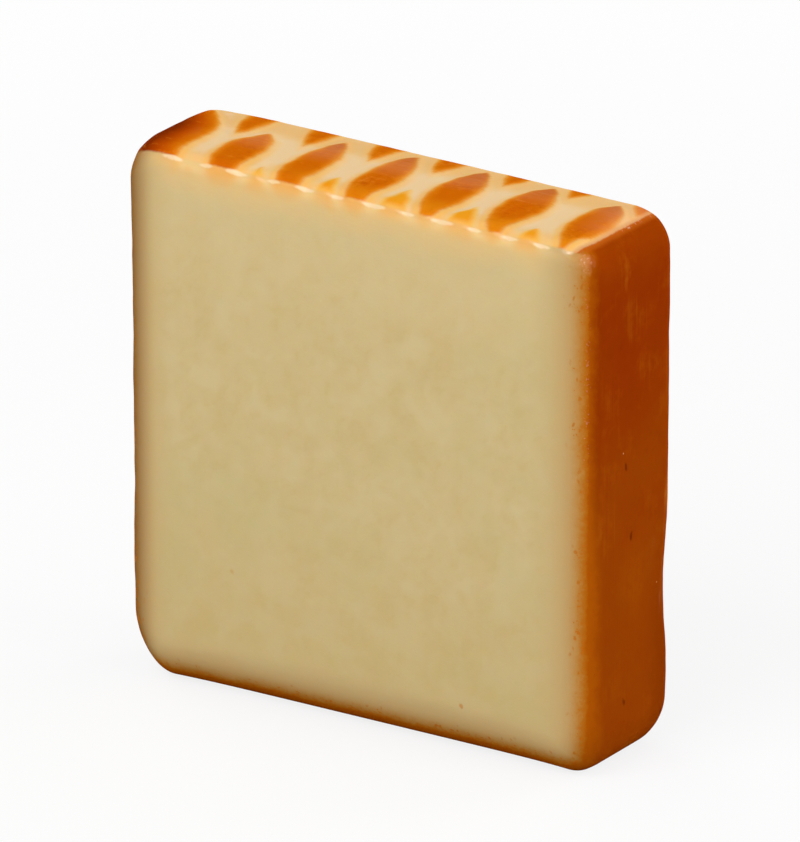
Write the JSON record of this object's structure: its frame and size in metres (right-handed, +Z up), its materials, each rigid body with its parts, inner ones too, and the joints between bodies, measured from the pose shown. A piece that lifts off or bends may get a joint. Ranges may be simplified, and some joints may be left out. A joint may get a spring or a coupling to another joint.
{
  "type": "smoked cheese slab",
  "caption": "Upright slab of smoked gruyere style cheese, half of a square loaf: pale cut face, brown smoked rind on the other sides, rack marks on top.",
  "frame": {"origin": "middle of the footprint, on the surface that the slab stands on", "axes": "+Z up along the slab's height, +X along its width towards the side rind, -Y out of the pale cut face, +Y out of the rind face behind it"},
  "size_m": [0.16, 0.0482, 0.166],
  "materials": {
    "smoked_cheese": "waxy cheese with a slight sheen: pale yellow on the cut face, orange-brown smoked rind elsewhere"
  },
  "bodies": {
    "root": {"cheese_slab": "smoked_cheese"}
  },
  "joints": []
}
